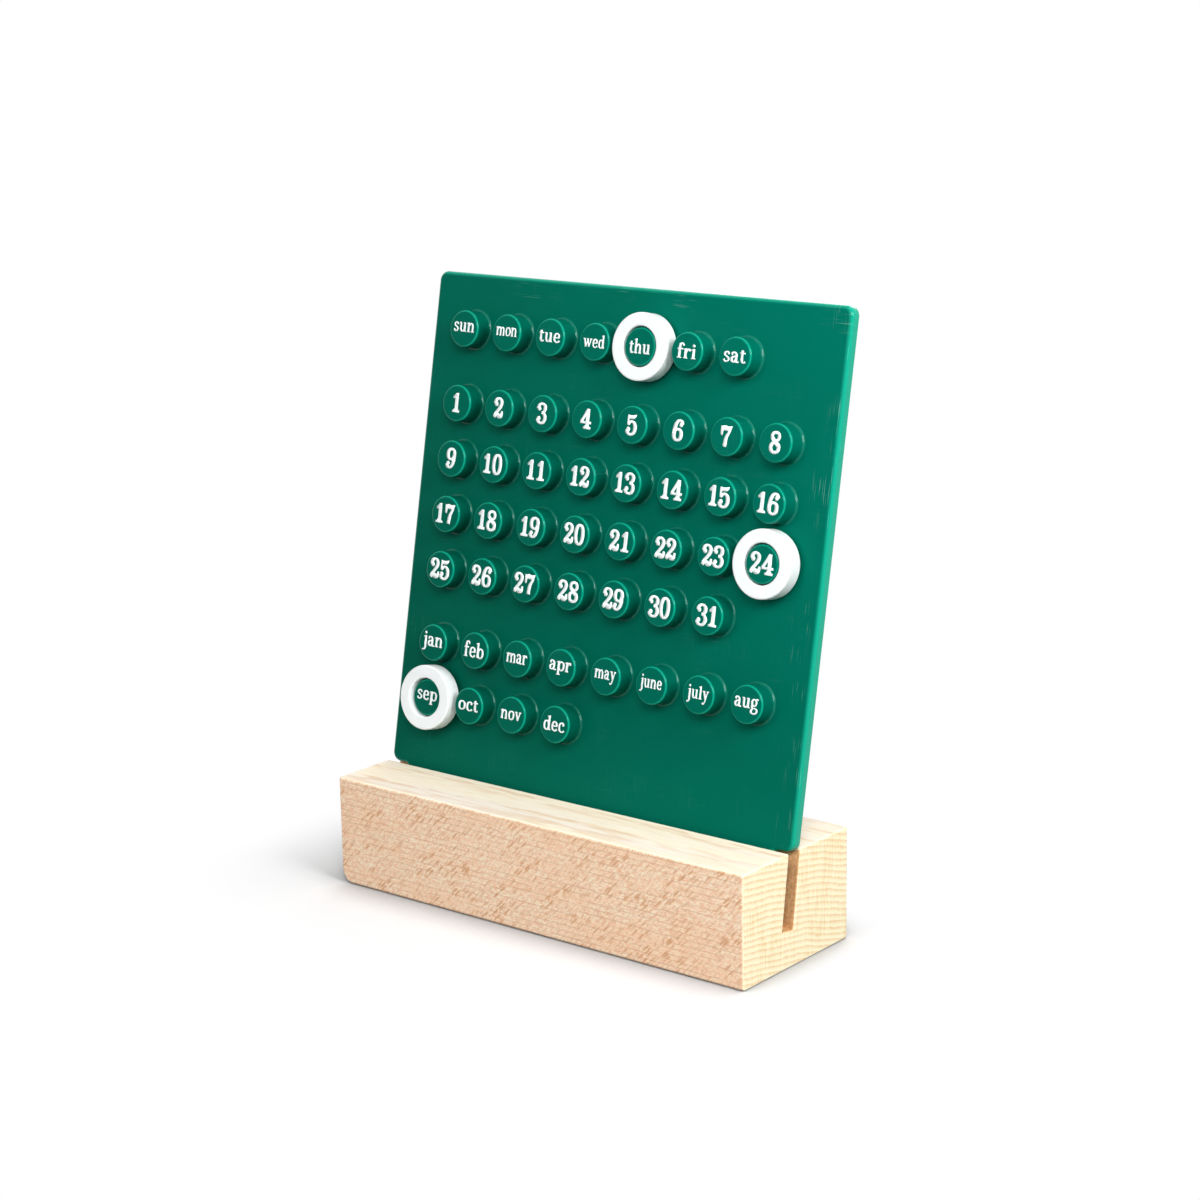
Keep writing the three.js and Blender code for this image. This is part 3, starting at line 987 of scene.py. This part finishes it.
def beech_front():
    """Across the rings: brushed short grain, thin ring lines, and slanting ray flecks."""
    finish = beech("beech_front")
    wave = (finish.noise(finish.here, 2.5 * MM, 1) - 0.5) * 0.8 * MM
    brushed = finish.noise(finish.point(finish.x / 4, finish.y, finish.z + wave), 0.24 * MM, 2)
    grain = finish.ramp(brushed, 0.36, 0.6)
    broad = finish.ramp(pores(finish, 7, 4 * MM), 0.35, 0.65)
    where = finish.point(finish.x * 0.8 - finish.z * 0.5, finish.z, finish.y)
    bands = finish.ramp(finish.noise(where, 7 * MM, 2), 0.46, 0.6)
    strong = flecks(finish, 44, 2.0 * MM, 0.38 * MM, 0.36) * (bands * 0.6 + 0.4)
    small = flecks(finish, 58, 1.1 * MM, 0.28 * MM, 0.45) * (bands * 0.4 + 0.6)
    lines = late_wood(finish, 0.62) * finish.ramp(pores(finish, 10, 1.2 * MM), 0.35, 0.55)
    ground = finish.blend(grain, (0.93, 0.58, 0.37), (1.0, 0.83, 0.63))
    ground = finish.blend(broad * 0.35, ground, (0.97, 0.61, 0.39))
    ground = finish.blend(lines * 0.35, ground, (0.58, 0.28, 0.14))
    ground = finish.blend(small * 0.45, ground, (0.72, 0.36, 0.18))
    finish.feed(
        Base_Color=finish.blend(strong * 0.7, ground, (0.66, 0.31, 0.13)),
        Roughness=0.62 - strong * 0.12 + grain * 0.1,
    )
    finish.bump(brushed - strong * 0.3, 0.3, 0.06 * MM)
    return finish.material


# %% [markdown]
# The top lies along the rings, so a ring comes up as a long soft streak instead of a line. It
# is the same ring pattern as on the front, kept only where slow noise lets it through.

# %% The top's finish
def beech_top():
    """Along the rings: near white, with soft tan streaks where a ring comes up."""
    finish = beech("beech_top")
    fine = pores(finish, 18, 0.5 * MM)
    broken = finish.ramp(pores(finish, 7, 2.2 * MM), 0.42, 0.62)
    streaks = late_wood(finish, 0.35) * broken
    # Painted shade: greyish lilac clouds stand for the shade and reflection of the panel on the top,
    # spread at random over it.
    clouds = finish.noise(finish.point(finish.x / 9, finish.y, finish.z), 7 * MM, 1)
    lilac_painted_shade = finish.ramp(clouds, 0.48, 0.7)
    ground = finish.blend(finish.ramp(fine, 0.3, 0.7), (0.90, 0.77, 0.59), (0.96, 0.87, 0.72))
    ground = finish.blend(lilac_painted_shade * 0.4, ground, (0.88, 0.79, 0.78))
    finish.feed(
        Base_Color=finish.blend(streaks * 0.7, ground, (0.76, 0.53, 0.33)),
        Roughness=0.6 + fine * 0.1,
    )
    finish.bump(fine, 0.2, 0.03 * MM)
    return finish.material


# %% [markdown]
# The ends cut straight across the grain and show each ring as a line. The rays stand square to
# the rings there, as a fine hatch. The slot is sawn and not planed, so it is rough, and it is
# given a darker, browner colour as painted shade, since it lies in shade.

# %% The finishes of the ends and of the slot
def beech_end():
    """Across the grain: growth lines, broken by a fine hatch of rays square to them."""
    finish = beech("beech_end")
    late = late_wood(finish, 0.3)
    hatch = finish.noise(finish.point(finish.x, finish.y, finish.z / 12), 0.45 * MM, 1)
    rays = finish.ramp(hatch, 0.42, 0.6)
    patch = finish.ramp(finish.noise(finish.here, 9 * MM, 1), 0.4, 0.6)
    dots = finish.noise(finish.here, 0.3 * MM, 1)
    ground = finish.blend(dots, (0.94, 0.85, 0.57), (0.98, 0.95, 0.71))
    ground = finish.blend(rays * (patch * 0.25 + 0.05), ground, (0.86, 0.58, 0.26))
    share = late * (finish.ramp(dots, 0.25, 0.6) * 0.25 + 0.2 + rays * 0.25)
    finish.feed(
        Base_Color=finish.blend(share, ground, (0.84, 0.48, 0.18)),
        Roughness=0.75 + dots * 0.1,
    )
    finish.bump(dots, 0.3, 0.03 * MM)
    return finish.material


def beech_slot():
    """The sawn slot: orange-brown as painted shade, and mottled where the blade tore the grain."""
    finish = beech("beech_slot")
    fine = pores(finish, 6, 0.45 * MM)
    mottled = finish.ramp(finish.noise(finish.here, 0.7 * MM, 2), 0.35, 0.65)
    # Painted shade: the slot's colour is much darker than the rest of the wood, for the shade inside it.
    finish.feed(
        Base_Color=finish.blend(fine * 0.4 + mottled * 0.6, (0.54, 0.26, 0.10), (0.80, 0.48, 0.24)),
        Roughness=0.8 + fine * 0.1,
    )
    finish.bump(fine, 0.3, 0.04 * MM)
    return finish.material


# %% [markdown]
# ## The block
# The block is planed square, its edges just eased with sandpaper, and a slot is sawn along it
# from end to end at a lean. It is its section, carried along x and rounded at both ends, and
# the left end's foot is worn rounder, as if it had been dragged over a desk. A Bevel modifier
# with weights could do that too, but a formula that moves x by height is shorter. The packed
# node has the same section with flat eases.

# %% The block's section and its piece
BLOCK_ROUND = 0.5 * MM
FOOT_EASE = 0.9 * MM
WORN_FOOT = 4.0 * MM
FOOT_ROWS = 6
SLOT_CORNER = 0.15 * MM
SECTION_STEPS = 6
SLOT_WIDTH = 4.4 * MM
SLOT_LEAN = math.radians(8.6)
SLOT_MOUTH_FORWARD = 0.65 * MM
SLOT_REACH = 7 * MM
WOOD_UNDER_SLOT = 9.6 * MM
block_low, block_high = (np.array(corner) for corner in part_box("wood_block"))


def block_section():
    """The section as (y, z): a rectangle with a slanted slot open at the top.

    A few more points up the front and the back let the worn foot bend.
    """
    front, (back, height) = block_low[1], block_high[1:]
    mouth = np.array([-SLOT_MOUTH_FORWARD, height])
    down = np.array([-math.sin(SLOT_LEAN), -math.cos(SLOT_LEAN)])
    across = np.array([math.cos(SLOT_LEAN), -math.sin(SLOT_LEAN)]) * SLOT_WIDTH / 2
    half_mouth = np.array([SLOT_WIDTH / 2 / math.cos(SLOT_LEAN), 0])
    floor = mouth + down * (height - WOOD_UNDER_SLOT) / math.cos(SLOT_LEAN)
    corners = [(front, 0), (back, 0), (back, height), mouth + half_mouth, floor + across]
    corners += [floor - across, mouth - half_mouth, (front, height)]
    radii = [FOOT_EASE] * 2 + [BLOCK_ROUND] * 2 + [SLOT_CORNER] * 2 + [BLOCK_ROUND] * 2
    outline = rounded_outline(corners, radii, SECTION_STEPS)
    feet = 2 * (SECTION_STEPS + 1)
    rise = np.linspace(FOOT_EASE, WORN_FOOT, FOOT_ROWS + 1)[1:, None]
    up_back = np.hstack([0 * rise + back, rise, 0 * rise + 1, 0 * rise])
    down_front = np.hstack([0 * rise + front, rise[::-1], 0 * rise - 1, 0 * rise])
    return np.vstack([outline[:feet], up_back, outline[feet:], down_front])


def worn_foot(points, normals):
    """Rounds the left end's foot of radius r: x grows by s = r - sqrt(r^2 - (r - z)^2).

    The direction (a, b, c) of the surface then turns to (a, b, c - a ds/dz).
    """
    below = WORN_FOOT - np.clip(points[:, 2], 0.001 * MM, WORN_FOOT)
    level = np.sqrt(WORN_FOOT**2 - below**2)
    at_left = points[:, 0] < block_low[0] + 1.2 * BLOCK_ROUND
    moved, turned = points.copy(), normals.copy()
    moved[:, 0] += at_left * (WORN_FOOT - level)
    turned[:, 2] += at_left * normals[:, 0] * below / level
    return moved, turned


def side_of(points, triangles):
    """Which finish each face takes: 0 front and back, 1 top and bottom, 2 ends, 3 slot."""
    a, b, c = (points[triangles[:, k]] for k in range(3))
    facing = np.abs(np.cross(b - a, c - a))
    side = np.array([2, 0, 1])[facing.argmax(axis=1)]
    _, y, z = ((a + b + c) / 3).T
    below_top = (z > FOOT_EASE) & (z < block_high[2] - BLOCK_ROUND)
    side[(np.abs(y) < SLOT_REACH) & below_top & (side != 2)] = 3
    return side


# %% The block
def wooden_block():
    """The section carried along x, its ends joined by rungs where the foot is worn."""
    half = block_high[0]
    start = arc((BLOCK_ROUND, -half + BLOCK_ROUND), BLOCK_ROUND, 270, 180, SECTION_STEPS)
    end = arc((BLOCK_ROUND, half - BLOCK_ROUND), BLOCK_ROUND, 180, 90, SECTION_STEPS)
    band = edge_band(block_section(), np.vstack([start, end]) * [1, 1, -1, 1])
    rows = band[0].reshape(len(start) + len(end), -1, 3)
    count = rows.shape[1]
    rungs = [(SECTION_STEPS + 1 + k, (SECTION_STEPS - k) % count)
             for k in range(1, SECTION_STEPS + FOOT_ROWS + 1)]
    ends = [flat_face(rows[index, :, :2], [], rows[index, 0, 2], up, rungs)
            for index, up in ((0, -1), (-1, 1))]
    points, normals, triangles = join([band, *ends])
    points, normals = worn_foot(points[:, [2, 0, 1]], normals[:, [2, 0, 1]])
    finishes = [beech_front(), beech_top(), beech_end(), beech_slot()]
    piece = make_piece("beech_block", points, normals, triangles, finishes, "stand",
                       side_of(points, triangles))
    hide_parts("wood_block")


wooden_block()

# %% [markdown]
# ## Floor, light and camera
# The calendar was photographed on seamless white, lit mostly from the right, with a soft
# shadow to its left. The floor is a large pale plane with painted shade close to the block: an
# ambient occlusion node darkens its colour there. It turns plain white past a distance of its
# own on each side. A shadow catcher could do that in a compositor, but here the floor's own
# material does it.

# %% The floor
WHITE_BEYOND = {"left": 48 * MM, "right": 9 * MM, "front": 36 * MM, "back": 18 * MM}
FLOOR_REACH, FLOOR_LEVEL = 6.0, -0.05 * MM
CREVICE = 20 * MM
PAINTED_SHADE_GREY, PAPER_WHITE = (0.42, 0.42, 0.43), (0.84, 0.84, 0.845)
PAPER_LIGHT = (0.16, 0.16, 0.16, 1)


def seen_or_lit(tree, seen, lit):
    """Mixes two shaders: one that the camera and shiny faces see, one that lights the object."""
    path = tree.nodes.new("ShaderNodeLightPath")
    either = path.outputs["Is Camera Ray"]
    for ray in ("Is Glossy Ray", "Is Transmission Ray"):
        also = tree.nodes.new("ShaderNodeMath")
        also.operation = "MAXIMUM"
        tree.links.new(either, also.inputs[0])
        tree.links.new(path.outputs[ray], also.inputs[1])
        either = also.outputs[0]
    mix = tree.nodes.new("ShaderNodeMixShader")
    tree.links.new(either, mix.inputs[0])
    tree.links.new(lit, mix.inputs[1])
    tree.links.new(seen, mix.inputs[2])
    return mix


def paper_floor():
    """Paper with painted shade near the block; it turns white as (distance past the block / reach on that
    side) goes to 1.
    """
    mesh = bpy.data.meshes.new("paper_floor")
    signs = ((-1, -1), (1, -1), (1, 1), (-1, 1))
    corners = [(x * FLOOR_REACH, y * FLOOR_REACH, FLOOR_LEVEL) for x, y in signs]
    mesh.from_pydata(corners, [], [(0, 1, 2, 3)])
    finish = Finish("white_paper")
    sides = {"left": 0 - finish.x, "right": finish.x, "front": 0 - finish.y, "back": finish.y}
    away = 0
    for name, towards in sides.items():
        half = block_high[0] if name in ("left", "right") else block_high[1]
        past = finish.sum("MAXIMUM", towards - float(half), 0) / WHITE_BEYOND[name]
        away = away + past * past
    near = {"Distance": CREVICE}
    # Painted shade: the paper's colour goes grey where the ambient occlusion finds the block near.
    open_sky = finish.node("ShaderNodeAmbientOcclusion", {"samples": 8}, near, output=1)
    pale = finish.blend(finish.ramp(open_sky, 0.35, 0.95), PAINTED_SHADE_GREY, PAPER_WHITE)
    paper = finish.node("ShaderNodeBsdfDiffuse", {}, {"Color": pale})
    white = finish.node("ShaderNodeEmission")
    share = finish.ramp(away ** 0.5, 0, 1)
    seen = finish.node("ShaderNodeMixShader", {}, {0: share, 1: paper, 2: white})
    lit = finish.node("ShaderNodeBsdfDiffuse", {}, {"Color": PAPER_LIGHT})
    mix = seen_or_lit(finish.tree, seen.socket, lit.socket)
    finish.tree.links.new(mix.outputs[0], finish.tree.nodes["Material Output"].inputs["Surface"])
    finish.tree.nodes.remove(finish.shader)
    mesh.materials.append(finish.material)
    floor = bpy.data.objects.new("paper_floor", mesh)
    bpy.context.scene.collection.objects.link(floor)
    print("white beyond the block, in mm:", {side: round(far / MM) for side, far in WHITE_BEYOND.items()})


paper_floor()

# %% [markdown]
# The light is five softboxes and a faint white room. The strongest two stand at the right and
# off the right front corner, and make the shadow. The one above lights the wood's top, the one
# behind the back, and the one in front lifts the face. None stands where the plate would
# mirror it to the camera. They stay at a plain level, so that a colour renders about as it is
# written, and the camera sees the room as white however faint its light is.

# %% The white room and the softboxes
ROOM_LIGHT = 0.06
LAMPS_AIM = (0, 0, 0.08)
SOFTBOXES = {
    "softbox_right": ((0.66, -0.1, 0.46), 0.33, 14.6),
    "softbox_corner": ((0.4, -0.5, 0.52), 0.28, 14),
    "softbox_above": ((0.1, 0.2, 0.88), 0.3, 3.4),
    "softbox_behind": ((-0.35, 0.95, 0.5), 0.6, 2.7),
    "softbox_front": ((-0.1, -0.95, 0.62), 0.6, 4.6),
}


def white_room(strength):
    """Plain white light from all round, which the camera sees as white."""
    world = bpy.data.worlds.new("white_room")
    bpy.context.scene.world = world
    world.use_nodes = True
    tree = world.node_tree
    light = tree.nodes["Background"]
    light.inputs["Color"].default_value = (1, 1, 1, 1)
    light.inputs["Strength"].default_value = strength
    seen = tree.nodes.new("ShaderNodeBackground")
    seen.inputs["Color"].default_value = (1, 1, 1, 1)
    mix = seen_or_lit(tree, seen.outputs[0], light.outputs[0])
    tree.links.new(mix.outputs[0], tree.nodes["World Output"].inputs["Surface"])


def softbox(name, place, side, glow):
    """A lit square that faces the calendar; its power is glow x pi x side squared."""
    data = bpy.data.lights.new(name, "AREA")
    data.shape, data.size = "SQUARE", side
    data.energy = glow * math.pi * side ** 2
    lamp = bpy.data.objects.new(name, data)
    lamp.location = place
    lamp.rotation_mode = "QUATERNION"
    lamp.rotation_quaternion = (Vector(place) - Vector(LAMPS_AIM)).to_track_quat("Z", "Y")
    bpy.context.scene.collection.objects.link(lamp)
    print(f"{name}: {data.energy:.2f} W")


white_room(ROOM_LIGHT)
for name, (place, side, glow) in SOFTBOXES.items():
    softbox(name, place, side, glow)

# %% [markdown]
# The photograph looks at the right front corner from a little above, with a long lens. The
# camera's place was fitted to the straight edges of the block and the panel. A Track To
# constraint could aim it, but it would leave no room for the small roll of a hand-held camera.

# %% The camera, at the photograph's place
CAMERA_PLACE = Vector((0.416276, -0.509511, 0.245351))
CAMERA_AIM = Vector((0.006127, 0.0, 0.082338))
CAMERA_ROLL = math.radians(-1.023)
CAMERA_LENS, CAMERA_SENSOR = 81.78, 36
CAMERA_CLIP = 0.01, 20


def photo_camera():
    """A camera at its place, turned towards its aim and then rolled."""
    data = bpy.data.cameras.new("photo_camera")
    data.lens, data.sensor_width = CAMERA_LENS, CAMERA_SENSOR
    data.clip_start, data.clip_end = CAMERA_CLIP
    camera = bpy.data.objects.new("photo_camera", data)
    towards = (CAMERA_AIM - CAMERA_PLACE).to_track_quat("-Z", "Y").to_matrix().to_4x4()
    roll = Matrix.Rotation(CAMERA_ROLL, 4, "Z")
    camera.matrix_world = Matrix.Translation(CAMERA_PLACE) @ towards @ roll
    bpy.context.scene.collection.objects.link(camera)
    bpy.context.scene.camera = camera
    print(f"camera {(CAMERA_AIM - CAMERA_PLACE).length:.3f} m away, {CAMERA_LENS} mm lens")


photo_camera()
bpy.context.scene.view_settings.view_transform = "Standard"
